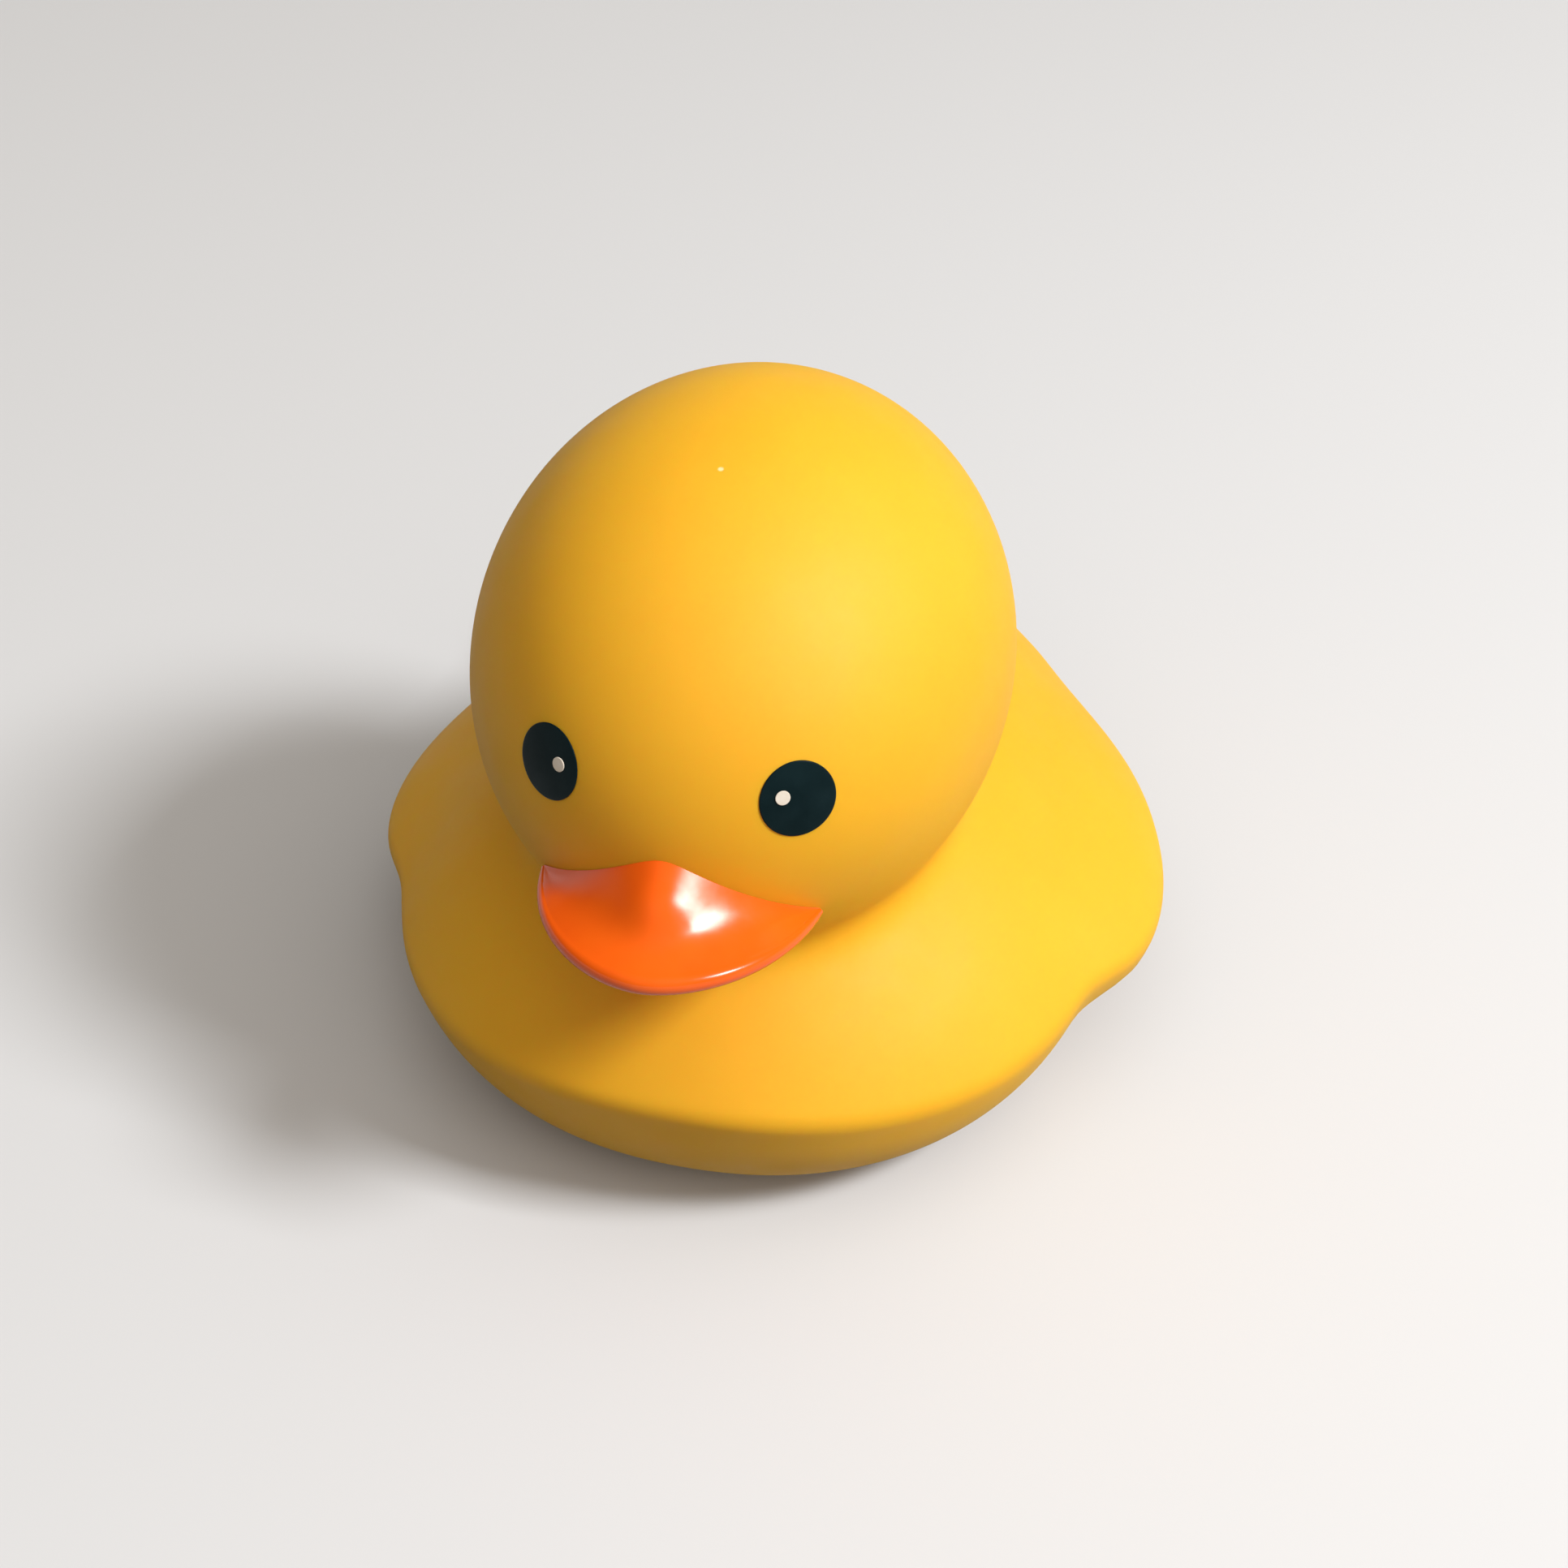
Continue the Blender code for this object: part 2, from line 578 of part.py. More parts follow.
# Squeaker: a flanged plug snapped into the hole in the base, with a reed standing in its vent
def squeaker(parent):
    white = material("squeaker_plastic", PLUG_WHITE, 0.4)
    foot = SEAT_DEPTH - CLEARANCE - FLANGE_THICKNESS
    bead = SEAT_DEPTH + WALL + CLEARANCE
    barrel = HOLE_RADIUS - CLEARANCE
    flange = SEAT_RADIUS - CLEARANCE
    outline = [(VENT_RADIUS, foot), (flange, foot), (flange, foot + FLANGE_THICKNESS),
               (barrel, foot + FLANGE_THICKNESS), (barrel, bead), (BEAD_RADIUS, bead),
               (barrel, bead + BEAD_HEIGHT), (barrel, SQUEAKER_HEIGHT), (VENT_RADIUS, SQUEAKER_HEIGHT)]
    turned("squeaker_body", outline, white, parent, (0.0, HEAD_Y, 0.0))
    reed_radius = VENT_RADIUS - CLEARANCE
    arc = [REED_START + REED_ARC * step / REED_STEPS for step in range(REED_STEPS + 1)]
    ring = [(reed_radius * math.cos(angle), reed_radius * math.sin(angle)) for angle in arc]
    low, high = foot + REED_RECESS, foot + REED_RECESS + REED_LENGTH
    points = [(x, y, low) for x, y in ring] + [(x, y, high) for x, y in ring]
    count = len(ring)
    faces = [tuple(range(count))[::-1], tuple(range(count, 2 * count))]
    faces += [(k, (k + 1) % count, count + (k + 1) % count, count + k) for k in range(count)]
    reed = mesh_object("squeaker_reed", points, faces, material("reed_plastic", REED_GREY, 0.5), parent)
    reed.location = (0.0, HEAD_Y, 0.0)


def main():
    clear_scene()
    duck = bpy.data.objects.new("duck", None)
    bpy.context.collection.objects.link(duck)
    outer = shell(material("vinyl", VINYL, 0.45), duck)
    paint = bill_paint(material("bill_orange", ORANGE, 0.2), duck)
    eyes(duck)
    squeaker(duck)
    front = min(vertex.co.y for vertex in paint.data.vertices)
    duck.location.y = -0.5 * (front + outer[..., 1].max())


main()
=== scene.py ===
import math

import bmesh
import bpy
import numpy as np
from mathutils import Matrix, Vector

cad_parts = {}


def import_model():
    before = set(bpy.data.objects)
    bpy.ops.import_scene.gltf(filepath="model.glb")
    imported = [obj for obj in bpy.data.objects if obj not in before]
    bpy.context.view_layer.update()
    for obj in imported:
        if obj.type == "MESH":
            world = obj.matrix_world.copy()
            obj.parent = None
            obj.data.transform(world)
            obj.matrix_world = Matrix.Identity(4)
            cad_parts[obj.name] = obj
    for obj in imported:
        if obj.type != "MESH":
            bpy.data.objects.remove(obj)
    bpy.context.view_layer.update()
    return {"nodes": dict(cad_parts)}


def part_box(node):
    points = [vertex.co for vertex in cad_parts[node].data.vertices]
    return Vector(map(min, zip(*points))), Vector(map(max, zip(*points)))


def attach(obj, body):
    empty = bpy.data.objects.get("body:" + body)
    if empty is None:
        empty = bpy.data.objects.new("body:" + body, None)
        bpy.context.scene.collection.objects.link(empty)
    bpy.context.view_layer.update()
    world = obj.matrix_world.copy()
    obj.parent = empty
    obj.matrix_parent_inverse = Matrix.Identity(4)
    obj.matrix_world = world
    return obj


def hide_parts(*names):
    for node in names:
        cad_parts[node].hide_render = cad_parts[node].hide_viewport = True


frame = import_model()

# Head: an egg lying along the duck, nose slightly down
HEAD_HALF_WIDTH = 0.0235
HEAD_HALF_LENGTH = 0.0281
HEAD_HALF_HEIGHT = 0.0235
HEAD_HEIGHT = 0.0438
HEAD_Y = -0.0070
HEAD_PITCH = math.radians(4.2)
NECK_BLEND = 0.0045

# Body: a dome over an inward leaning hull, widest a little behind the head
BODY_Y = -0.0033
DOME_HALF_WIDTH = 0.0383
DOME_FRONT = 0.0406
DOME_REAR = 0.0599
DOME_HEIGHT = 0.0370
DOME_BASE = -0.0030
DOME_POWER = 2.0
PLAN_POWER = 2.15
HULL_HALF_WIDTH = 0.0331
HULL_FRONT = 0.0328
HULL_REAR = 0.0460
HULL_GAUGE_HEIGHT = 0.0110
HULL_LEAN = math.radians(15.0)
CHINE_BLEND = 0.0010
BASE_BLEND = 0.0121

# Wings: a lobe on each flank, turned out towards the tail, with a crisp lower edge over an undercut
WING_X = 0.0245
WING_Y = 0.0084
WING_HEIGHT = 0.0080
WING_HALF_WIDTH = 0.0142
WING_HALF_LENGTH = 0.0217
WING_HALF_THICKNESS = 0.0110
WING_YAW = math.radians(17.4)
WING_BLEND = 0.0060
WING_TRIM = 0.0018
WING_UNDERCUT = math.radians(40.0)
WING_NOTCH = 0.0030

# Tail: a short upturned point
TAIL_Y = 0.0340
TAIL_HEIGHT = 0.0240
TAIL_HALF_WIDTH = 0.0110
TAIL_HALF_LENGTH = 0.0165
TAIL_HALF_THICKNESS = 0.0062
TAIL_PITCH = math.radians(33.0)
TAIL_BLEND = 0.0100

# Bill: a short broad scoop with a crest down its middle, a rounded lip and a mouth line over a small jaw
BILL_CORNER_AZIMUTH = math.radians(27.5)
BILL_ROOT_TOP = math.radians(-0.4)
BILL_ROOT_SLOPE = 0.65
BILL_ROOT_ROUND = math.radians(3.0)
BILL_ROOT_BOTTOM = math.radians(-33.0)
BILL_CORNER_BOTTOM = math.radians(-20.0)
BILL_HALF_WIDTH = 0.0116
BILL_REACH = 0.0134
BILL_SETBACK = 0.0047
BILL_PLAN_POWER = 1.8
BILL_DROP = 0.0072
BILL_LIFT = 0.0020
BILL_CORNER_SHARE = 0.15
LIP_RADIUS = 0.0008
LIP_TURN = math.radians(140.0)
MOUTH_DEPTH = 0.0016
MOUTH_HEIGHT = 0.0007
JAW_INSET = 0.0022
JAW_HEIGHT = 0.0026
JAW_UNDERCUT = 0.0024
SCOOP_FALL = math.radians(42.0)
SCOOP_RUNOUT = math.radians(10.0)
SCOOP_FALL_SHARE = 0.36
SCOOP_RUNOUT_SHARE = 0.45
CREST_WIDTH = 0.0030
CREST_START_SHARE = 0.30
CREST_END_SHARE = 0.85
BILL_END_SHARE = 0.985
CORNER_POWER = 6.0
BILL_PAINT_START = -0.00003
BILL_ROOT_DEPTH = 0.0012

# Eyes: painted ovals, each with a small glint on its inner side
EYE_AZIMUTH = math.radians(22.8)
EYE_ELEVATION = math.radians(11.1)
EYE_HALF_WIDTH = 0.00328
EYE_HALF_HEIGHT = 0.00335
GLINT_AZIMUTH = math.radians(20.0)
GLINT_ELEVATION = math.radians(11.9)
GLINT_RADIUS = 0.00062
OVAL_RIM = ((1.0, 0.5), (0.985, 0.9), (0.96, 1.0))

# Wall, paint, the squeaker and its seat
WALL = 0.0021
PAINT_GAP = 0.00003
BILL_PAINT = 0.00008
EYE_GAP = 0.00004
EYE_PAINT = 0.00010
GLINT_PAINT = 0.00008
SEAT_RADIUS = 0.0095
SEAT_DEPTH = 0.0014
HOLE_RADIUS = 0.0060
CLEARANCE = 0.0003
FLANGE_THICKNESS = 0.0009
SQUEAKER_HEIGHT = 0.0090
BEAD_RADIUS = 0.0065
BEAD_HEIGHT = 0.0012
VENT_RADIUS = 0.0016
SEAT_ROUND = 0.0003
FLANGE_ROUND = 0.00015

# Mesh fineness
COLUMNS = 280
ROWS = (40, 10, 52, 26, 64)
SETTLE_LIMIT = 0.00005
REAR_CROWDING = 0.30
TAIL_CROWDING = 0.10
CAVITY_COLUMNS = 96
CAVITY_ROWS = (12, 2, 18, 8, 24)
BILL_COLUMNS = 141
BILL_TOP_ROWS = 40
LIP_ROWS = 10
JAW_ROWS = 3
ROOT_LEVELS = 5
FINE_STEPS = 12
OVAL_SIDES = 120
OVAL_RINGS = 8
TURNED_SIDES = 120
SEAT_STEPS = 5
FLANGE_STEPS = 6
TRACE_STEP = 0.0003
TRACE_LIMIT = 2000
NUDGE = 1e-6
SHELL_CREASE = math.radians(32.0)
BILL_CREASE = math.radians(50.0)
OVAL_CREASE = math.radians(60.0)
SQUEAKER_CREASE = math.radians(40.0)

# Pale speck on the forehead
SPECK_AZIMUTH = math.radians(-2.7)
SPECK_ELEVATION = math.radians(74.6)
SPECK_RADIUS = 0.00022

# Colours
VINYL = (0.960, 0.490, 0.018)
VINYL_DEEP = (0.945, 0.465, 0.015)
VINYL_SPECK = (0.95, 0.78, 0.40)
ORANGE = (0.960, 0.135, 0.004)
ORANGE_DEEP = (0.930, 0.115, 0.003)
EYE_BLACK = (0.001, 0.009, 0.011)
EYE_BLACK_DUSTY = (0.004, 0.015, 0.018)
GLINT_WHITE = (0.86, 0.78, 0.68)
GLINT_CREAM = (0.80, 0.70, 0.56)
PLUG_WHITE = (0.80, 0.78, 0.70)
PLUG_SHADE = (0.72, 0.69, 0.60)
REED_GREY = (0.45, 0.45, 0.43)
REED_DARK = (0.36, 0.36, 0.35)
FLOOR_PALE = (0.71, 0.72, 0.74)
FLOOR_DULL = (0.10, 0.10, 0.10)

# Finishes: roughness from and to, gloss, and the scale of the clouds in the colour
VINYL_ROUGHNESS = (0.56, 0.64)
VINYL_GLOSS = 0.36
VINYL_DEPTH = 0.0016
VINYL_DEPTH_SHARES = (1.0, 0.40, 0.10)
VINYL_DEPTH_WEIGHT = 0.50
VINYL_CLOUDS = 55.0
BILL_ROUGHNESS = (0.17, 0.23)
BILL_GLOSS = 0.40
BILL_CLOUDS = 120.0
EYE_ROUGHNESS = (0.34, 0.46)
EYE_GLOSS = 0.08
EYE_CLOUDS = 300.0
GLINT_ROUGHNESS = (0.30, 0.42)
GLINT_CLOUDS = 900.0
PLUG_ROUGHNESS = (0.36, 0.50)
PLUG_CLOUDS = 250.0
REED_ROUGHNESS = (0.42, 0.55)
REED_CLOUDS = 400.0
PLASTIC_GLOSS = 0.5
FINE_GRAIN = 0.00002
FINEST_GRAIN = 0.00001
FLOOR_ROUGHNESS = 0.8
FLOOR_SIZE = 6.0

# Camera: the photograph's view
VIEW_AZIMUTH = math.radians(13.0)
VIEW_ELEVATION = math.radians(40.0)
VIEW_DISTANCE = 0.2388
VIEW_TARGET_X = 0.00183
VIEW_TARGET_HEIGHT = 0.0233
FOCAL_PIXELS = 3107.0
IMAGE_PIXELS = 1932.0
SENSOR_WIDTH = 36.0
NEAREST_SEEN = 0.01

# Light: a key lamp from the duck's left and a soft fill from above, with pale walls up to a dark ceiling
KEY_AZIMUTH = math.radians(79.0)
KEY_ELEVATION = math.radians(45.0)
KEY_DISTANCE = 0.9
KEY_SIZE = 0.20
KEY_POWER = 7.3
FILL_TINT = (1.0, 0.93, 0.84)
FILL_AIM = (0.32, -0.31, 0.895)
FILL_LOW = 0.06
FILL_HIGH = 1.18
FILL_POWER = 2.0
WALL_TOP = 0.10
CEILING = 0.30
WALL_LEVEL = 1.0
WALL_WHITE = (1.0, 1.0, 1.0)
CEILING_LEVEL = 0.05


# Fields: each is below zero inside its form and about the distance in metres near its surface
def superellipsoid(point, radii, power=2.0):
    ratio = np.abs(point) / radii
    size = (ratio ** power).sum(-1) ** (1.0 / power) + 1e-12
    slope = ratio ** (power - 1.0) / radii * size[..., None] ** (1.0 - power)
    return (size - 1.0) / (np.linalg.norm(slope, axis=-1) + 1e-9)


def blend(first, second, width):
    share = np.clip(0.5 + 0.5 * (second - first) / width, 0.0, 1.0)
    return second + (first - second) * share - width * share * (1.0 - share)


def trim(first, second, width):
    return -blend(-first, -second, width)


def pitched(point, angle):
    y = math.cos(angle) * point[..., 1] - math.sin(angle) * point[..., 2]
    z = math.sin(angle) * point[..., 1] + math.cos(angle) * point[..., 2]
    return np.stack([point[..., 0], y, z], -1)


HEAD_CENTRE = np.array([0.0, HEAD_Y, HEAD_HEIGHT])
HEAD_RADII = np.array([HEAD_HALF_WIDTH, HEAD_HALF_LENGTH, HEAD_HALF_HEIGHT])


def head_field(point):
    return superellipsoid(pitched(point - HEAD_CENTRE, -HEAD_PITCH), HEAD_RADII)


def dome_field(point):
    local = point - np.array([0.0, BODY_Y, DOME_BASE])
    length = np.where(local[..., 1] < 0.0, DOME_FRONT, DOME_REAR)
    radii = np.stack([np.full_like(length, DOME_HALF_WIDTH), length, np.full_like(length, DOME_HEIGHT)], -1)
    return superellipsoid(local, radii, DOME_POWER)


def wing_place(point):
    """The point seen from the nearer wing: across it, along it and above its middle."""
    x = np.abs(point[..., 0]) - WING_X
    y = point[..., 1] - WING_Y
    along = math.cos(WING_YAW) * y - math.sin(WING_YAW) * x
    across = math.cos(WING_YAW) * x + math.sin(WING_YAW) * y
    return np.stack([across, along, point[..., 2] - WING_HEIGHT], -1)


def wing_field(point):
    radii = np.array([WING_HALF_WIDTH, WING_HALF_LENGTH, WING_HALF_THICKNESS])
    return superellipsoid(wing_place(point), radii, PLAN_POWER)


def top_field(point):
    """The rounded upper side, with the wings in it."""
    return blend(dome_field(point), wing_field(point), WING_BLEND)


def hull_field(point):
    """The leaning lower side, with the wings' undercut edges in it."""
    rise = point[..., 2] - HULL_GAUGE_HEIGHT
    flare = rise * math.tan(HULL_LEAN)
    local = point[..., :2] - np.array([0.0, BODY_Y])
    length = np.where(local[..., 1] < 0.0, HULL_FRONT, HULL_REAR) + flare
    hull = superellipsoid(local, np.stack([HULL_HALF_WIDTH + flare, length], -1), PLAN_POWER)
    spare = np.minimum(rise * math.tan(WING_UNDERCUT), flare) - WING_TRIM
    radii = np.stack([WING_HALF_WIDTH + spare, WING_HALF_LENGTH + spare], -1)
    edge = superellipsoid(wing_place(point)[..., :2], radii, PLAN_POWER)
    edge = np.maximum(edge, -radii.min(-1))
    return blend(hull, edge, WING_NOTCH) * math.cos(HULL_LEAN)


def tail_field(point):
    local = pitched(point - np.array([0.0, TAIL_Y, TAIL_HEIGHT]), -TAIL_PITCH)
    return superellipsoid(local, np.array([TAIL_HALF_WIDTH, TAIL_HALF_LENGTH, TAIL_HALF_THICKNESS]))


def body_field(point):
    body = trim(top_field(point), hull_field(point), CHINE_BLEND)
    body = blend(body, tail_field(point), TAIL_BLEND)
    return trim(body, -point[..., 2], BASE_BLEND)


def duck_field(point):
    return blend(body_field(point), head_field(point), NECK_BLEND)


# Profiles: the duck's outline in upright half planes round the head's axis, from the base to the crown
def in_plane(azimuth, profile):
    radius, height = profile[..., 0], profile[..., 1]
    return np.stack([radius * np.sin(azimuth), HEAD_Y - radius * np.cos(azimuth), height], -1)


def plane_slope(field, azimuth, profile):
    out = np.array([NUDGE, 0.0])
    up = np.array([0.0, NUDGE])
    across = field(in_plane(azimuth, profile + out)) - field(in_plane(azimuth, profile - out))
    along = field(in_plane(azimuth, profile + up)) - field(in_plane(azimuth, profile - up))
    return np.stack([across, along], -1) / (2.0 * NUDGE)


def settle(field, azimuth, profile, rounds=3):
    for _ in range(rounds):
        slope = plane_slope(field, azimuth, profile)
        value = field(in_plane(azimuth, profile))
        profile = profile - slope * (value / (slope ** 2).sum(-1))[..., None]
    return profile


def trace(field, azimuth, start_radius, floor):
    """Follow the field's zero line in every half plane at once, from the floor up to the crown."""
    profile = np.tile([start_radius, floor], (len(azimuth), 1))
    steps = [profile]
    while profile[:, 0].max() > -TRACE_STEP and len(steps) < TRACE_LIMIT:
        slope = plane_slope(field, azimuth, profile)
        slope /= np.linalg.norm(slope, axis=-1)[:, None]
        ahead = profile + TRACE_STEP * np.stack([-slope[:, 1], slope[:, 0]], -1)
        ahead = settle(field, azimuth, ahead, 1)
        profile = np.where(profile[:, :1] > -TRACE_STEP, ahead, profile)
        steps.append(profile)
    return np.stack(steps, 1)


def spread(line, first, last, count):
    """Points at equal steps along a traced line, from index first to index last."""
    part = line[first:last + 1]
    length = np.concatenate([[0.0], np.cumsum(np.linalg.norm(np.diff(part, axis=0), axis=1))])
    wanted = np.linspace(0.0, length[-1], count + 1)
    return np.stack([np.interp(wanted, length, part[:, k]) for k in range(2)], -1)


def skin_rings(field, columns, rows, floor):
    """Rings of points over the whole form, the first round its flat base, the last at the crown.
    Rows are counted from the base to the chine, over it, to the neck's fillet, over it and to the crown."""
    turn = np.arange(columns) * 2.0 * math.pi / columns
    azimuth = turn + REAR_CROWDING * np.sin(turn) - TAIL_CROWDING * np.sin(2.0 * turn)
    lines = trace(field, azimuth, SEAT_RADIUS + 2.0 * WALL, floor)
    rings = []
    for angle, line in zip(azimuth, lines):
        points = in_plane(np.full(len(line), angle), line)
        above_hull = top_field(points) - hull_field(points)
        above_body = body_field(points) - head_field(points)
        marks = [int(np.argmax(line[:, 1] > floor + NUDGE)) - 1]
        for passed in (above_hull > -CHINE_BLEND, above_hull > CHINE_BLEND, above_body > -NECK_BLEND,
                       above_body > NECK_BLEND, line[:, 0] <= 0.0):
            marks.append(marks[-1] + 1 + int(np.argmax(passed[marks[-1] + 1:])))
        parts = [spread(line, first, last, count)[1:] for first, last, count in zip(marks, marks[1:], rows)]
        rings.append(np.concatenate([line[marks[:1]]] + parts))
    rings = np.stack(rings, 1)
    for row in range(1, len(rings) - 1):
        settled = settle(field, azimuth, rings[row])
        near = np.linalg.norm(settled - rings[row], axis=-1) < SETTLE_LIMIT
        rings[row] = np.where(near[:, None], settled, rings[row])
    rings[..., 1] = np.maximum(rings[..., 1], floor)
    rings[0, :, 1] = floor
    return in_plane(azimuth, rings)


# Meshes
def mesh_object(name, points, faces, skin=None):
    mesh = bpy.data.meshes.new(name)
    mesh.from_pydata([tuple(p) for p in points], [], faces)
    mesh.validate()
    if skin is not None:
        mesh.materials.append(skin)
    made = bpy.data.objects.new(name, mesh)
    bpy.context.collection.objects.link(made)
    return made


def smooth(item, angle):
    item.data.shade_smooth()
    item.data.set_sharp_from_angle(angle=angle)


def grid_faces(rows, columns, closed=True):
    """Quads of a grid whose rings run round, facing out when rows go up and columns go round."""
    faces = []
    for row in range(rows - 1):
        for column in range(columns if closed else columns - 1):
            a = row * columns + column
            b = row * columns + (column + 1) % columns
            faces.append((a, b, b + columns, a + columns))
    return faces


def closed_form(name, rings):
    """A closed solid from rings: a flat face under the first ring, a fan to one point at the last."""
    columns = rings.shape[1]
    sides = rings[:-1]
    points = np.concatenate([sides.reshape(-1, 3), rings[-1].mean(0)[None]])
    faces = grid_faces(len(sides), columns)
    faces.append(tuple(range(columns))[::-1])
    last = (len(sides) - 1) * columns
    top = len(points) - 1
    faces += [(last + k, last + (k + 1) % columns, top) for k in range(columns)]
    return mesh_object(name, points, faces)


def turned(name, outline, skin=None):
    """A solid turned round the head's upright axis, from radius and height points up its outer side."""
    form = bmesh.new()
    verts = [form.verts.new((radius, 0.0, height)) for radius, height in outline]
    edges = [form.edges.new(pair) for pair in zip(verts, verts[1:])]
    if outline[0][0] > 0.0:
        edges.append(form.edges.new((verts[-1], verts[0])))
    bmesh.ops.spin(form, geom=verts + edges, axis=(0.0, 0.0, 1.0), cent=(0.0, 0.0, 0.0),
                   angle=2.0 * math.pi, steps=TURNED_SIDES, use_duplicate=False)
    bmesh.ops.remove_doubles(form, verts=form.verts, dist=1e-7)
    bmesh.ops.recalc_face_normals(form, faces=form.faces)
    bmesh.ops.translate(form, verts=form.verts, vec=(0.0, HEAD_Y, 0.0))
    mesh = bpy.data.meshes.new(name)
    form.to_mesh(mesh)
    form.free()
    if skin is not None:
        mesh.materials.append(skin)
    made = bpy.data.objects.new(name, mesh)
    bpy.context.collection.objects.link(made)
    return made


def combine(target, other, operation):
    """Join or cut target by other for good, and remove other."""
    change = target.modifiers.new(other.name, "BOOLEAN")
    change.object = other
    change.operation = operation
    change.solver = "EXACT"
    bpy.context.view_layer.update()
    ready = target.evaluated_get(bpy.context.evaluated_depsgraph_get())
    mesh = bpy.data.meshes.new_from_object(ready)
    target.modifiers.remove(change)
    target.data = mesh
    bpy.data.objects.remove(other)


def grid_normals(grid):
    """Unit normals of an open grid of points, by differences along its rows and columns."""
    along = np.gradient(grid, axis=0)
    across = np.gradient(grid, axis=1)
    normal = np.cross(across, along)
    return normal / np.linalg.norm(normal, axis=-1)[..., None]


def head_point(azimuth, elevation, depth=0.0):
    """A point on the head, given by its direction from the head's centre, or below it by a depth."""
    azimuth, elevation, depth = np.broadcast_arrays(azimuth, elevation, depth)
    flat = np.cos(elevation)
    aim = np.stack([np.sin(azimuth) * flat, -np.cos(azimuth) * flat, np.sin(elevation)], -1)
    local = pitched(aim, -HEAD_PITCH)
    local = local / np.linalg.norm(local / HEAD_RADII, axis=-1)[..., None]
    out = local / HEAD_RADII ** 2
    out /= np.linalg.norm(out, axis=-1)[..., None]
    return HEAD_CENTRE + pitched(local - out * depth[..., None], HEAD_PITCH)


# Bill
def bill_roots(turn):
    """Elevations on the head of the bill's top and bottom root, with the azimuth, for a turn of -1 to 1."""
    azimuth = turn * BILL_CORNER_AZIMUTH
    top = BILL_ROOT_TOP - BILL_ROOT_SLOPE * (math.hypot(azimuth, BILL_ROOT_ROUND) - BILL_ROOT_ROUND)
    bottom = BILL_ROOT_BOTTOM + (BILL_CORNER_BOTTOM - BILL_ROOT_BOTTOM) * turn ** 2
    return azimuth, top, bottom


def bill_top(root, lip, share):
    """A point of the bill's upper face. Beside its middle crest it falls steeply, then runs out flat."""
    up = np.array([0.0, 0.0, 1.0])
    out = (lip - root) * np.array([1.0, 1.0, 0.0])
    out /= np.linalg.norm(out)
    reach = np.linalg.norm(lip - root)
    steep = out * math.cos(SCOOP_FALL) - up * math.sin(SCOOP_FALL)
    flat = out * math.cos(SCOOP_RUNOUT) - up * math.sin(SCOOP_RUNOUT)
    fall = root + steep * reach * SCOOP_FALL_SHARE
    runout = lip - flat * reach * SCOOP_RUNOUT_SHARE
    left = 1.0 - share
    scoop = left ** 3 * root + 3.0 * left ** 2 * share * fall
    scoop += 3.0 * left * share ** 2 * runout + share ** 3 * lip
    crest = root + (lip - root) * share
    fade = min(max((CREST_END_SHARE - share) / (CREST_END_SHARE - CREST_START_SHARE), 0.0), 1.0)
    middle = math.exp(-(crest[0] / CREST_WIDTH) ** 2)
    return scoop + (crest - scoop) * middle * fade ** 2 * (3.0 - 2.0 * fade)


def soften(points, rounds=3):
    """Cut the corners of an open line again and again, which turns it into a smooth curve."""
    line = np.array(points)
    for _ in range(rounds):
        near = 0.75 * line[:-1] + 0.25 * line[1:]
        far = 0.25 * line[:-1] + 0.75 * line[1:]
        cut = np.stack([near, far], 1).reshape(-1, 3)
        line = np.concatenate([line[:1], cut, line[-1:]])
    return line


def corner_shift(side):
    """From the end of the lip to the corner where the bill's top root ends, so that the two meet there."""
    azimuth, top, _ = bill_roots(side)
    edge = LIP_RADIUS * BILL_CORNER_SHARE
    end = np.array([side * (BILL_HALF_WIDTH - edge), HEAD_Y - HEAD_HALF_LENGTH + BILL_SETBACK,
                    HEAD_HEIGHT - BILL_DROP])
    return head_point(azimuth, top) - end


def jaw_outline():
    """The jaw's round front under the mouth, as insets from the lip and drops below it."""
    outline = []
    for angle in np.linspace(0.0, 0.5 * math.pi, JAW_ROWS + 1)[1:]:
        inset = JAW_INSET + JAW_UNDERCUT * (1.0 - math.cos(angle))
        outline.append((inset, MOUTH_HEIGHT + JAW_HEIGHT * math.sin(angle)))
    return outline


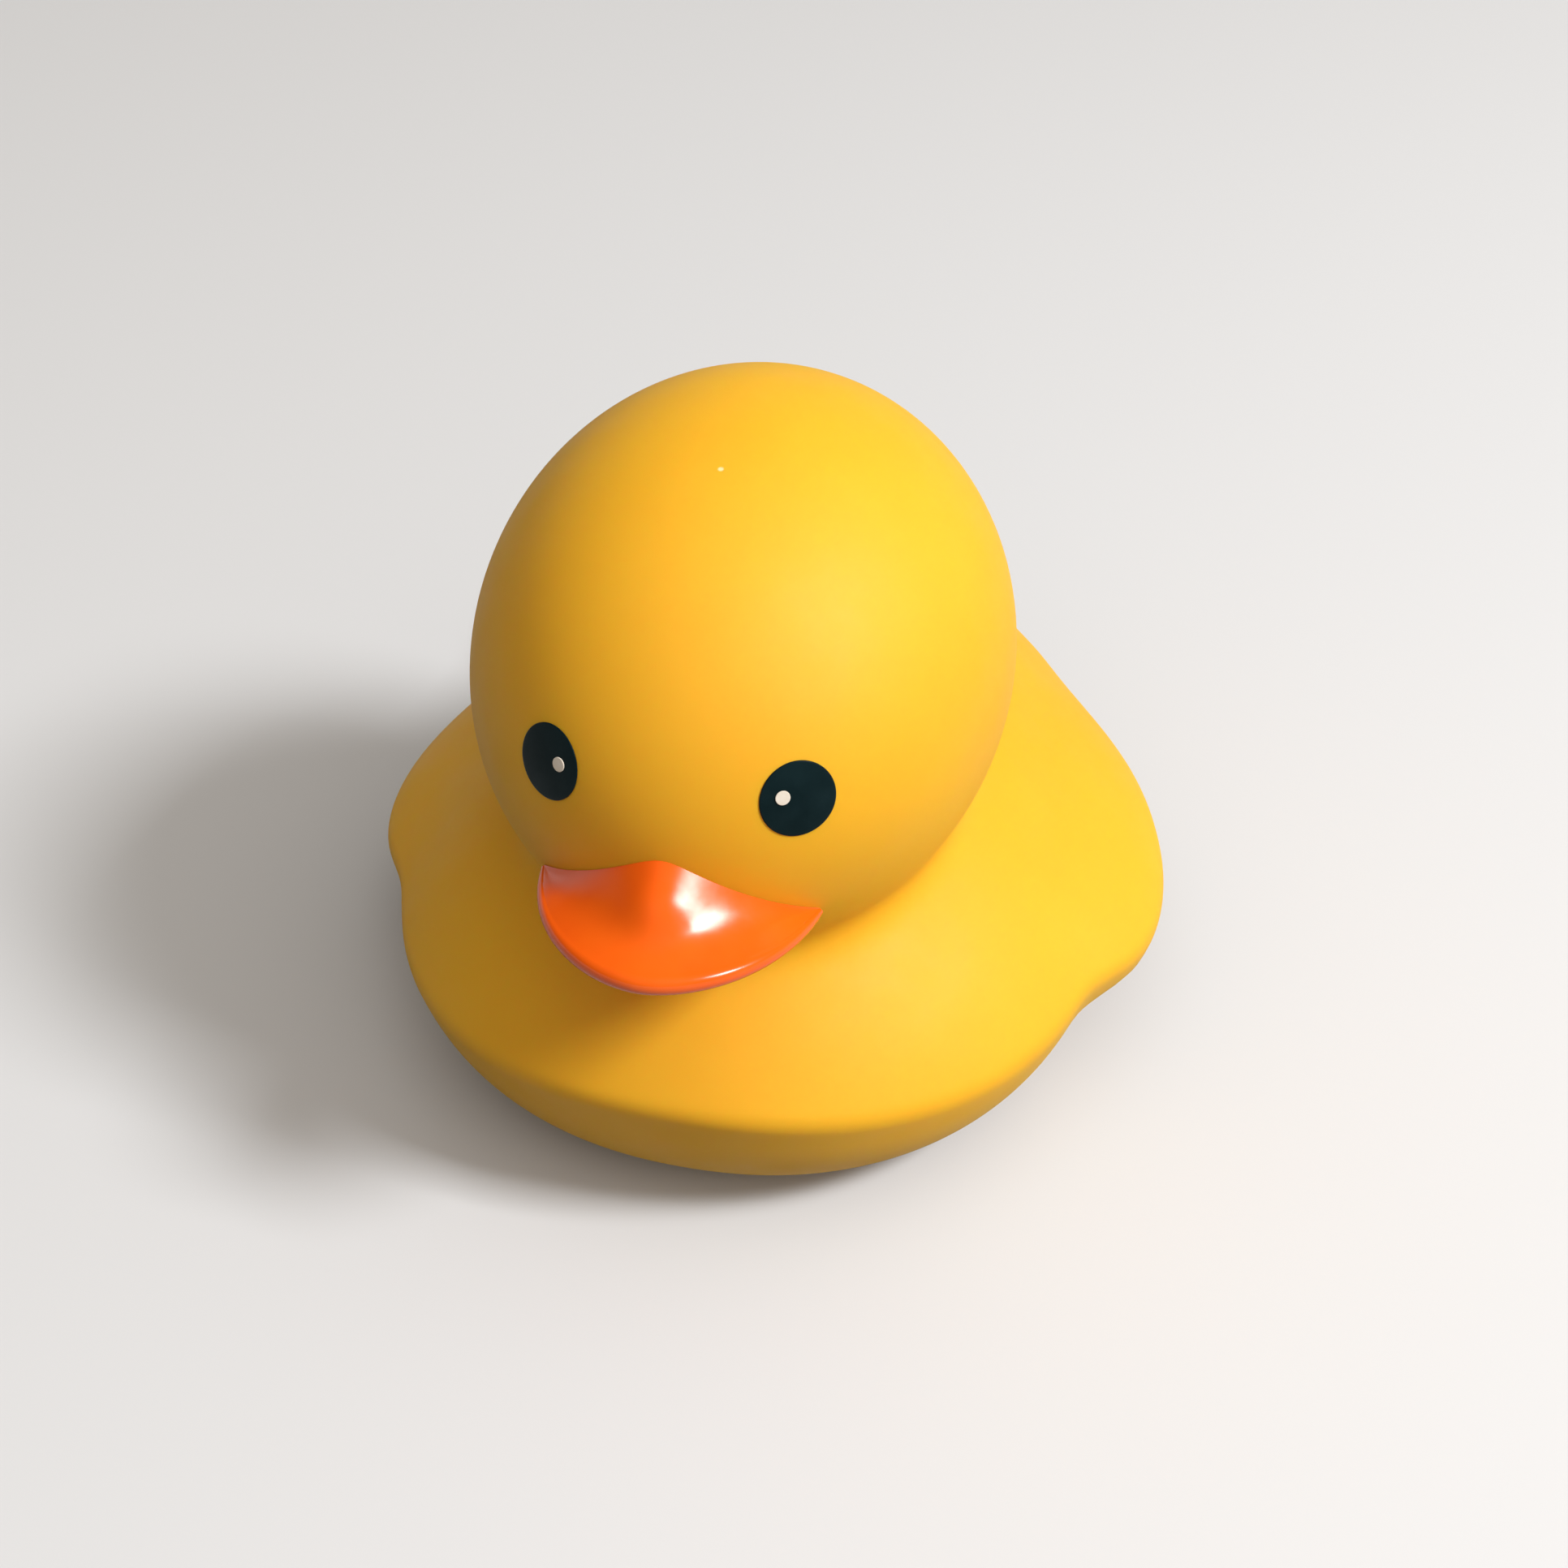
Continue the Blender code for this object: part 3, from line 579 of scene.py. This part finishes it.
def bill_line(turn):
    """The bill's outer line at one turn, from its top root over the lip and the mouth to its lower root."""
    azimuth, root_top, root_bottom = bill_roots(turn)
    top, bottom = head_point(azimuth, root_top), head_point(azimuth, root_bottom)
    sweep = turn * math.pi / 2.0
    across, ahead = math.sin(sweep), math.cos(sweep)
    out = np.array([across, -ahead, 0.0])
    up = np.array([0.0, 0.0, 1.0])
    full = BILL_CORNER_SHARE + (1.0 - BILL_CORNER_SHARE) * math.sqrt(ahead)
    edge = LIP_RADIUS * full
    bend = 2.0 / BILL_PLAN_POWER
    plan = np.array([math.copysign(abs(across) ** bend, across) * (BILL_HALF_WIDTH - edge),
                     -ahead ** bend * (BILL_REACH - edge), ahead ** bend * BILL_LIFT])
    lip = np.array([0.0, HEAD_Y - HEAD_HALF_LENGTH + BILL_SETBACK, HEAD_HEIGHT - BILL_DROP]) + plan
    lip += corner_shift(math.copysign(1.0, turn)) * abs(turn) ** CORNER_POWER
    points = [bill_top(top, lip, k / BILL_TOP_ROWS) for k in range(BILL_TOP_ROWS + 1)]
    for angle in np.linspace(0.0, LIP_TURN, LIP_ROWS + 1)[1:]:
        points.append(lip + out * edge * math.sin(angle) - up * edge * (1.0 - math.cos(angle)))
    under = lip - up * 2.0 * edge
    below = [points[-1]]
    for inset, drop in [(MOUTH_DEPTH, 0.0), (MOUTH_DEPTH, MOUTH_HEIGHT)] + jaw_outline():
        below.append(under - (out * inset + up * drop) * full)
    below.append(bottom)
    return np.concatenate([points, soften(below)[1:]])


def bill_outside(line):
    """The bill line cut off where it enters the duck, with as many points as before beside the lip."""
    share = np.linspace(0.0, len(line) - 1.0, FINE_STEPS * (len(line) - 1) + 1)
    fine = np.stack([np.interp(share, np.arange(len(line)), line[:, k]) for k in range(3)], -1)
    clear = share[duck_field(fine) > BILL_PAINT_START]
    below = min(LIP_ROWS, 0.5 * (clear[-1] - BILL_TOP_ROWS))
    rest = len(line) - BILL_TOP_ROWS - LIP_ROWS
    wanted = np.concatenate([np.linspace(clear[0], BILL_TOP_ROWS, BILL_TOP_ROWS + 1),
                             np.linspace(BILL_TOP_ROWS, BILL_TOP_ROWS + below, LIP_ROWS + 1)[1:],
                             np.linspace(BILL_TOP_ROWS + below, clear[-1], rest)[1:]])
    return np.stack([np.interp(wanted, share, fine[:, k]) for k in range(3)], -1)


def bill_skin():
    """The bill's visible surface as a grid, from its right corner to its left and from root to root."""
    even = np.linspace(-1.0, 1.0, BILL_COLUMNS)
    turns = 0.5 * (even + np.sin(0.5 * math.pi * even)) * BILL_END_SHARE
    return turns, np.stack([bill_outside(bill_line(turn)) for turn in turns])


def bill_form(turns, skin):
    """The bill as a closed solid, let into the head's wall so that the two join."""
    sections = []
    for turn, row in zip(turns, skin):
        azimuth, top, bottom = bill_roots(turn)
        levels = np.linspace(bottom, top, ROOT_LEVELS)
        sections.append(np.concatenate([row, head_point(azimuth, levels, BILL_ROOT_DEPTH)]))
    sections = np.array(sections)
    rows, count = sections.shape[:2]
    ends = sections[[0, -1]].mean(1)
    points = np.concatenate([sections.reshape(-1, 3), ends])
    faces = grid_faces(rows, count)
    right, left, last = len(points) - 2, len(points) - 1, (rows - 1) * count
    faces += [((k + 1) % count, k, right) for k in range(count)]
    faces += [(last + k, last + (k + 1) % count, left) for k in range(count)]
    return mesh_object("bill_form", points, faces)


def bill_paint(skin, finish):
    """The orange paint: a thin coat that follows the bill's visible surface."""
    normal = grid_normals(skin)
    rows, count = skin.shape[:2]
    under, over = skin + normal * PAINT_GAP, skin + normal * (PAINT_GAP + BILL_PAINT)
    points = np.concatenate([over.reshape(-1, 3), under.reshape(-1, 3)])
    half = rows * count
    faces = grid_faces(rows, count, closed=False)
    faces += [tuple(half + k for k in face[::-1]) for face in faces]
    rim = list(range(count))
    rim += [row * count + count - 1 for row in range(1, rows)]
    rim += [(rows - 1) * count + k for k in range(count - 2, -1, -1)]
    rim += [row * count for row in range(rows - 2, 0, -1)]
    faces += [(b, a, half + a, half + b) for a, b in zip(rim, rim[1:] + rim[:1])]
    made = mesh_object("bill_coat", points, faces, finish)
    smooth(made, BILL_CREASE)
    return made


# Eyes
def painted_oval(name, azimuth, elevation, half_width, half_height, gap, paint, finish):
    """A painted spot on the head: an oval plate with a rounded rim that follows the head's curve."""
    angles = np.arange(OVAL_SIDES) * 2.0 * math.pi / OVAL_SIDES
    steps = [(k / OVAL_RINGS, gap) for k in range(1, OVAL_RINGS + 1)]
    steps += [(share, gap + lift * paint) for share, lift in OVAL_RIM]
    steps += [(k / OVAL_RINGS, gap + paint) for k in range(OVAL_RINGS - 1, 0, -1)]
    rings = []
    for share, lift in steps:
        turn = azimuth + share * half_width * np.cos(angles) / (HEAD_HALF_LENGTH * math.cos(elevation))
        level = elevation + share * half_height * np.sin(angles) / HEAD_HALF_LENGTH
        rings.append(head_point(turn, level, -lift))
    centres = [head_point(azimuth, elevation, -gap), head_point(azimuth, elevation, -gap - paint)]
    points = np.concatenate([np.concatenate(rings), np.array(centres)])
    faces = grid_faces(len(rings), OVAL_SIDES)
    under, over, last = len(points) - 2, len(points) - 1, (len(rings) - 1) * OVAL_SIDES
    faces += [((k + 1) % OVAL_SIDES, k, under) for k in range(OVAL_SIDES)]
    faces += [(last + k, last + (k + 1) % OVAL_SIDES, over) for k in range(OVAL_SIDES)]
    made = mesh_object(name, points, faces, finish)
    smooth(made, OVAL_CREASE)
    return made


# Shell and squeaker
def shell(turns, skin, finish):
    """The hollow vinyl moulding, with its bill, the seat in its base and the hole for the squeaker."""
    floor_rise = SEAT_DEPTH + WALL
    outer = skin_rings(duck_field, COLUMNS, ROWS, 0.0)
    made = closed_form("vinyl_skin", outer)
    combine(made, bill_form(turns, skin), "UNION")
    inner = skin_rings(lambda point: duck_field(point) + WALL, CAVITY_COLUMNS, CAVITY_ROWS, WALL)
    combine(made, closed_form("cavity", inner), "DIFFERENCE")
    boss = [(0.0, 0.5 * WALL), (SEAT_RADIUS + WALL, 0.5 * WALL), (SEAT_RADIUS + WALL, floor_rise),
            (0.0, floor_rise)]
    combine(made, turned("seat_boss", boss), "UNION")
    seat = [(0.0, -WALL), (SEAT_RADIUS + SEAT_ROUND, -WALL), (SEAT_RADIUS + SEAT_ROUND, 0.0)]
    for step in range(1, SEAT_STEPS + 1):
        angle = 0.5 * math.pi * step / SEAT_STEPS
        out, up = 1.0 - math.sin(angle), 1.0 - math.cos(angle)
        seat.append((SEAT_RADIUS + SEAT_ROUND * out, SEAT_ROUND * up))
    seat += [(SEAT_RADIUS, SEAT_DEPTH), (HOLE_RADIUS, SEAT_DEPTH), (HOLE_RADIUS, floor_rise + WALL),
             (0.0, floor_rise + WALL)]
    combine(made, turned("seat_cut", seat), "DIFFERENCE")
    made.data.materials.clear()
    made.data.materials.append(finish)
    smooth(made, SHELL_CREASE)
    return made


def squeaker(finish):
    """A flanged plug with rounded rims, snapped into the hole in the base."""
    foot = SEAT_DEPTH - CLEARANCE - FLANGE_THICKNESS
    bead = SEAT_DEPTH + WALL + CLEARANCE
    barrel = HOLE_RADIUS - CLEARANCE
    flange = SEAT_RADIUS - CLEARANCE
    outline = [(VENT_RADIUS, foot + FLANGE_ROUND), (VENT_RADIUS + FLANGE_ROUND, foot)]
    for step in range(FLANGE_STEPS + 1):
        angle = 0.5 * math.pi * step / FLANGE_STEPS
        inset, up = 1.0 - math.sin(angle), 1.0 - math.cos(angle)
        outline.append((flange - FLANGE_ROUND * inset, foot + FLANGE_ROUND * up))
    outline += [(flange, foot + FLANGE_THICKNESS), (barrel, foot + FLANGE_THICKNESS), (barrel, bead),
                (BEAD_RADIUS, bead), (barrel, bead + BEAD_HEIGHT), (barrel, SQUEAKER_HEIGHT),
                (VENT_RADIUS, SQUEAKER_HEIGHT)]
    made = turned("squeaker_plug", outline, finish)
    smooth(made, SQUEAKER_CREASE)
    return made


# Finishes
def new_material(name):
    made = bpy.data.materials.new(name)
    made.use_nodes = True
    return made, made.node_tree.nodes, made.node_tree.links, made.node_tree.nodes["Principled BSDF"]


def noise(nodes, links, place, scale, detail=3.0, roughness=0.55):
    made = nodes.new("ShaderNodeTexNoise")
    made.inputs["Scale"].default_value = scale
    made.inputs["Detail"].default_value = detail
    made.inputs["Roughness"].default_value = roughness
    links.new(place.outputs["Object"], made.inputs["Vector"])
    return made.outputs["Fac"]


def colours_between(nodes, links, factor, first, second, low=0.35, high=0.65):
    ramp = nodes.new("ShaderNodeValToRGB")
    ramp.color_ramp.elements[0].position = low
    ramp.color_ramp.elements[0].color = (*first, 1.0)
    ramp.color_ramp.elements[1].position = high
    ramp.color_ramp.elements[1].color = (*second, 1.0)
    links.new(factor, ramp.inputs["Fac"])
    return ramp.outputs["Color"]


def values_between(nodes, links, value, low, high, start=0.3, end=0.7):
    """The range from start to end of a value, turned into the range from low to high."""
    made = nodes.new("ShaderNodeMapRange")
    made.inputs["From Min"].default_value = start
    made.inputs["From Max"].default_value = end
    made.inputs["To Min"].default_value = low
    made.inputs["To Max"].default_value = high
    links.new(value, made.inputs["Value"])
    return made.outputs["Result"]


def mixed_colour(nodes, links, factor, first, second):
    """The first colour at factor zero and the second at one. The first may be a socket."""
    made = nodes.new("ShaderNodeMix")
    made.data_type = "RGBA"
    links.new(factor, made.inputs["Factor"])
    if isinstance(first, tuple):
        made.inputs["A"].default_value = (*first, 1.0)
    else:
        links.new(first, made.inputs["A"])
    made.inputs["B"].default_value = (*second, 1.0)
    return made.outputs["Result"]


def relief(nodes, links, height, distance, strength, under=None):
    made = nodes.new("ShaderNodeBump")
    made.inputs["Strength"].default_value = strength
    made.inputs["Distance"].default_value = distance
    links.new(height, made.inputs["Height"])
    if under is not None:
        links.new(under, made.inputs["Normal"])
    return made.outputs["Normal"]


def spot(nodes, links, place, centre, radius):
    """One inside a small ball round centre and zero outside it, with a soft rim."""
    away = nodes.new("ShaderNodeVectorMath")
    away.operation = "DISTANCE"
    links.new(place.outputs["Object"], away.inputs[0])
    away.inputs[1].default_value = tuple(centre)
    return values_between(nodes, links, away.outputs["Value"], 0.0, 1.0, 1.3 * radius, 0.7 * radius)


def vinyl(speck):
    """Soft satin vinyl with faint clouds, a pale speck, a slight orange peel and a fine grain."""
    made, nodes, links, shader = new_material("vinyl")
    place = nodes.new("ShaderNodeTexCoord")
    cloudy = noise(nodes, links, place, VINYL_CLOUDS, detail=4.0)
    colour = colours_between(nodes, links, cloudy, VINYL_DEEP, VINYL)
    speckled_place = spot(nodes, links, place, speck, SPECK_RADIUS)
    links.new(mixed_colour(nodes, links, speckled_place, colour, VINYL_SPECK), shader.inputs["Base Color"])
    patchy = noise(nodes, links, place, 240.0, detail=5.0)
    links.new(values_between(nodes, links, patchy, *VINYL_ROUGHNESS), shader.inputs["Roughness"])
    peel = relief(nodes, links, noise(nodes, links, place, 700.0, detail=2.0), 0.00004, 0.22)
    grain = relief(nodes, links, noise(nodes, links, place, 3200.0, detail=2.0), FINEST_GRAIN, 0.30, peel)
    links.new(grain, shader.inputs["Normal"])
    shader.inputs["Subsurface Weight"].default_value = VINYL_DEPTH_WEIGHT
    shader.inputs["Subsurface Radius"].default_value = VINYL_DEPTH_SHARES
    shader.inputs["Subsurface Scale"].default_value = VINYL_DEPTH
    shader.inputs["Specular IOR Level"].default_value = VINYL_GLOSS
    return made


def bill_orange():
    """Glossy paint with faint clouds and a slight orange peel."""
    made, nodes, links, shader = new_material("bill_paint")
    place = nodes.new("ShaderNodeTexCoord")
    cloudy = noise(nodes, links, place, BILL_CLOUDS, detail=3.0)
    links.new(colours_between(nodes, links, cloudy, ORANGE_DEEP, ORANGE), shader.inputs["Base Color"])
    patchy = noise(nodes, links, place, 500.0, detail=4.0)
    links.new(values_between(nodes, links, patchy, *BILL_ROUGHNESS), shader.inputs["Roughness"])
    peel = relief(nodes, links, noise(nodes, links, place, 420.0, detail=2.0), 0.00006, 0.20)
    links.new(peel, shader.inputs["Normal"])
    shader.inputs["Specular IOR Level"].default_value = BILL_GLOSS
    return made


def plain_finish(name, light, dark, roughness, clouds, depth, gloss):
    """A plain moulded or painted finish: faint cloudy colour, uneven gloss and a fine grain."""
    made, nodes, links, shader = new_material(name)
    place = nodes.new("ShaderNodeTexCoord")
    cloudy = noise(nodes, links, place, clouds, detail=4.0)
    links.new(colours_between(nodes, links, cloudy, dark, light), shader.inputs["Base Color"])
    patchy = noise(nodes, links, place, 2.0 * clouds, detail=3.0)
    links.new(values_between(nodes, links, patchy, *roughness), shader.inputs["Roughness"])
    grain = relief(nodes, links, noise(nodes, links, place, 4.0 * clouds, detail=2.0), depth, 0.25)
    links.new(grain, shader.inputs["Normal"])
    shader.inputs["Specular IOR Level"].default_value = gloss
    return made


# Studio
def seen_rays(nodes, links):
    """One for camera, glossy and transmission rays and zero for the diffuse ones."""
    path = nodes.new("ShaderNodeLightPath")
    total = path.outputs["Is Camera Ray"]
    for name in ("Is Glossy Ray", "Is Transmission Ray"):
        add = nodes.new("ShaderNodeMath")
        add.operation = "ADD"
        add.use_clamp = True
        links.new(total, add.inputs[0])
        links.new(path.outputs[name], add.inputs[1])
        total = add.outputs["Value"]
    return total


def floor():
    """A pale floor that throws little light back up at the duck."""
    bpy.ops.mesh.primitive_plane_add(size=FLOOR_SIZE, location=(0.0, 0.0, 0.0))
    made = bpy.context.object
    made.name = "floor"
    finish, nodes, links, shader = new_material("floor")
    colour = mixed_colour(nodes, links, seen_rays(nodes, links), FLOOR_DULL, FLOOR_PALE)
    links.new(colour, shader.inputs["Base Color"])
    shader.inputs["Roughness"].default_value = FLOOR_ROUGHNESS
    made.data.materials.append(finish)


def aim_from(azimuth, elevation):
    """The direction towards a viewer or lamp. Azimuth is zero in front and a right angle at the left."""
    flat = math.cos(elevation)
    return Vector((math.sin(azimuth) * flat, -math.cos(azimuth) * flat, math.sin(elevation)))


def key_light(target):
    """A square lamp that faces the target."""
    light = bpy.data.lights.new("key", "AREA")
    light.shape = "SQUARE"
    light.size = KEY_SIZE
    light.energy = KEY_POWER
    lamp = bpy.data.objects.new("key", light)
    bpy.context.collection.objects.link(lamp)
    away = aim_from(KEY_AZIMUTH, KEY_ELEVATION)
    lamp.location = target + away * KEY_DISTANCE
    lamp.rotation_euler = away.to_track_quat("Z", "Y").to_euler()


def world():
    """Soft light from above. Seen or reflected, it is pale walls under a dark ceiling."""
    made = bpy.data.worlds.new("studio")
    bpy.context.scene.world = made
    made.use_nodes = True
    nodes, links = made.node_tree.nodes, made.node_tree.links
    background = nodes["Background"]
    place = nodes.new("ShaderNodeTexCoord")
    aim = nodes.new("ShaderNodeVectorMath")
    aim.operation = "DOT_PRODUCT"
    aim.inputs[1].default_value = FILL_AIM
    links.new(place.outputs["Generated"], aim.inputs[0])
    split = nodes.new("ShaderNodeSeparateXYZ")
    links.new(place.outputs["Generated"], split.inputs["Vector"])
    lobe = nodes.new("ShaderNodeMath")
    lobe.operation = "POWER"
    lobe.inputs[1].default_value = FILL_POWER
    links.new(values_between(nodes, links, aim.outputs["Value"], 0.0, 1.0, 0.0, 1.0), lobe.inputs[0])
    fill = values_between(nodes, links, lobe.outputs["Value"], FILL_LOW, FILL_HIGH, 0.0, 1.0)
    walls = values_between(nodes, links, split.outputs["Z"], WALL_LEVEL, CEILING_LEVEL, WALL_TOP, CEILING)
    seen = seen_rays(nodes, links)
    strength = nodes.new("ShaderNodeMix")
    links.new(seen, strength.inputs["Factor"])
    links.new(fill, strength.inputs["A"])
    links.new(walls, strength.inputs["B"])
    links.new(strength.outputs["Result"], background.inputs["Strength"])
    links.new(mixed_colour(nodes, links, seen, FILL_TINT, WALL_WHITE), background.inputs["Color"])


def camera(target):
    """The photograph's view of the target."""
    lens = bpy.data.cameras.new("photo_view")
    lens.sensor_width = SENSOR_WIDTH
    lens.lens = FOCAL_PIXELS / IMAGE_PIXELS * SENSOR_WIDTH
    lens.clip_start = NEAREST_SEEN
    made = bpy.data.objects.new("photo_view", lens)
    bpy.context.collection.objects.link(made)
    away = aim_from(VIEW_AZIMUTH, VIEW_ELEVATION)
    made.location = target + away * VIEW_DISTANCE
    made.rotation_euler = away.to_track_quat("Z", "Y").to_euler()
    bpy.context.scene.camera = made


def dress(piece, node, shift_y):
    """Move a finished piece into the frame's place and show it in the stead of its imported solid."""
    piece.data.transform(Matrix.Translation((0.0, shift_y, 0.0)))
    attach(piece, "root")
    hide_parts(node)


low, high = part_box("squeaker_body")
shift_y = 0.5 * (low[1] + high[1]) - HEAD_Y
turns, skin = bill_skin()
rubber = vinyl(head_point(SPECK_AZIMUTH, SPECK_ELEVATION) + np.array([0.0, shift_y, 0.0]))
paint = bill_orange()
black = plain_finish("eye_paint", EYE_BLACK, EYE_BLACK_DUSTY, EYE_ROUGHNESS, EYE_CLOUDS, FINE_GRAIN,
                     EYE_GLOSS)
cream = plain_finish("glint_paint", GLINT_WHITE, GLINT_CREAM, GLINT_ROUGHNESS, GLINT_CLOUDS, FINEST_GRAIN,
                     PLASTIC_GLOSS)
plug = plain_finish("squeaker_plastic", PLUG_WHITE, PLUG_SHADE, PLUG_ROUGHNESS, PLUG_CLOUDS, FINE_GRAIN,
                    PLASTIC_GLOSS)
grey = plain_finish("reed_plastic", REED_GREY, REED_DARK, REED_ROUGHNESS, REED_CLOUDS, FINE_GRAIN,
                    PLASTIC_GLOSS)

dress(shell(turns, skin, rubber), "vinyl_shell", shift_y)
dress(bill_paint(skin, paint), "bill_paint", shift_y)
for side, name in ((1.0, "left"), (-1.0, "right")):
    eye = painted_oval("eye_oval_" + name, side * EYE_AZIMUTH, EYE_ELEVATION,
                       EYE_HALF_WIDTH, EYE_HALF_HEIGHT, EYE_GAP, EYE_PAINT, black)
    dress(eye, "eye_" + name, shift_y)
    glint = painted_oval("glint_spot_" + name, side * GLINT_AZIMUTH, GLINT_ELEVATION,
                         GLINT_RADIUS, GLINT_RADIUS, 2.0 * EYE_GAP + EYE_PAINT, GLINT_PAINT, cream)
    dress(glint, "eye_glint_" + name, shift_y)
dress(squeaker(plug), "squeaker_body", shift_y)
for slot in frame["nodes"]["squeaker_reed"].material_slots:
    slot.material = grey

target = Vector((VIEW_TARGET_X, shift_y, VIEW_TARGET_HEIGHT))
floor()
key_light(target)
world()
camera(target)
bpy.context.scene.view_settings.view_transform = "Standard"
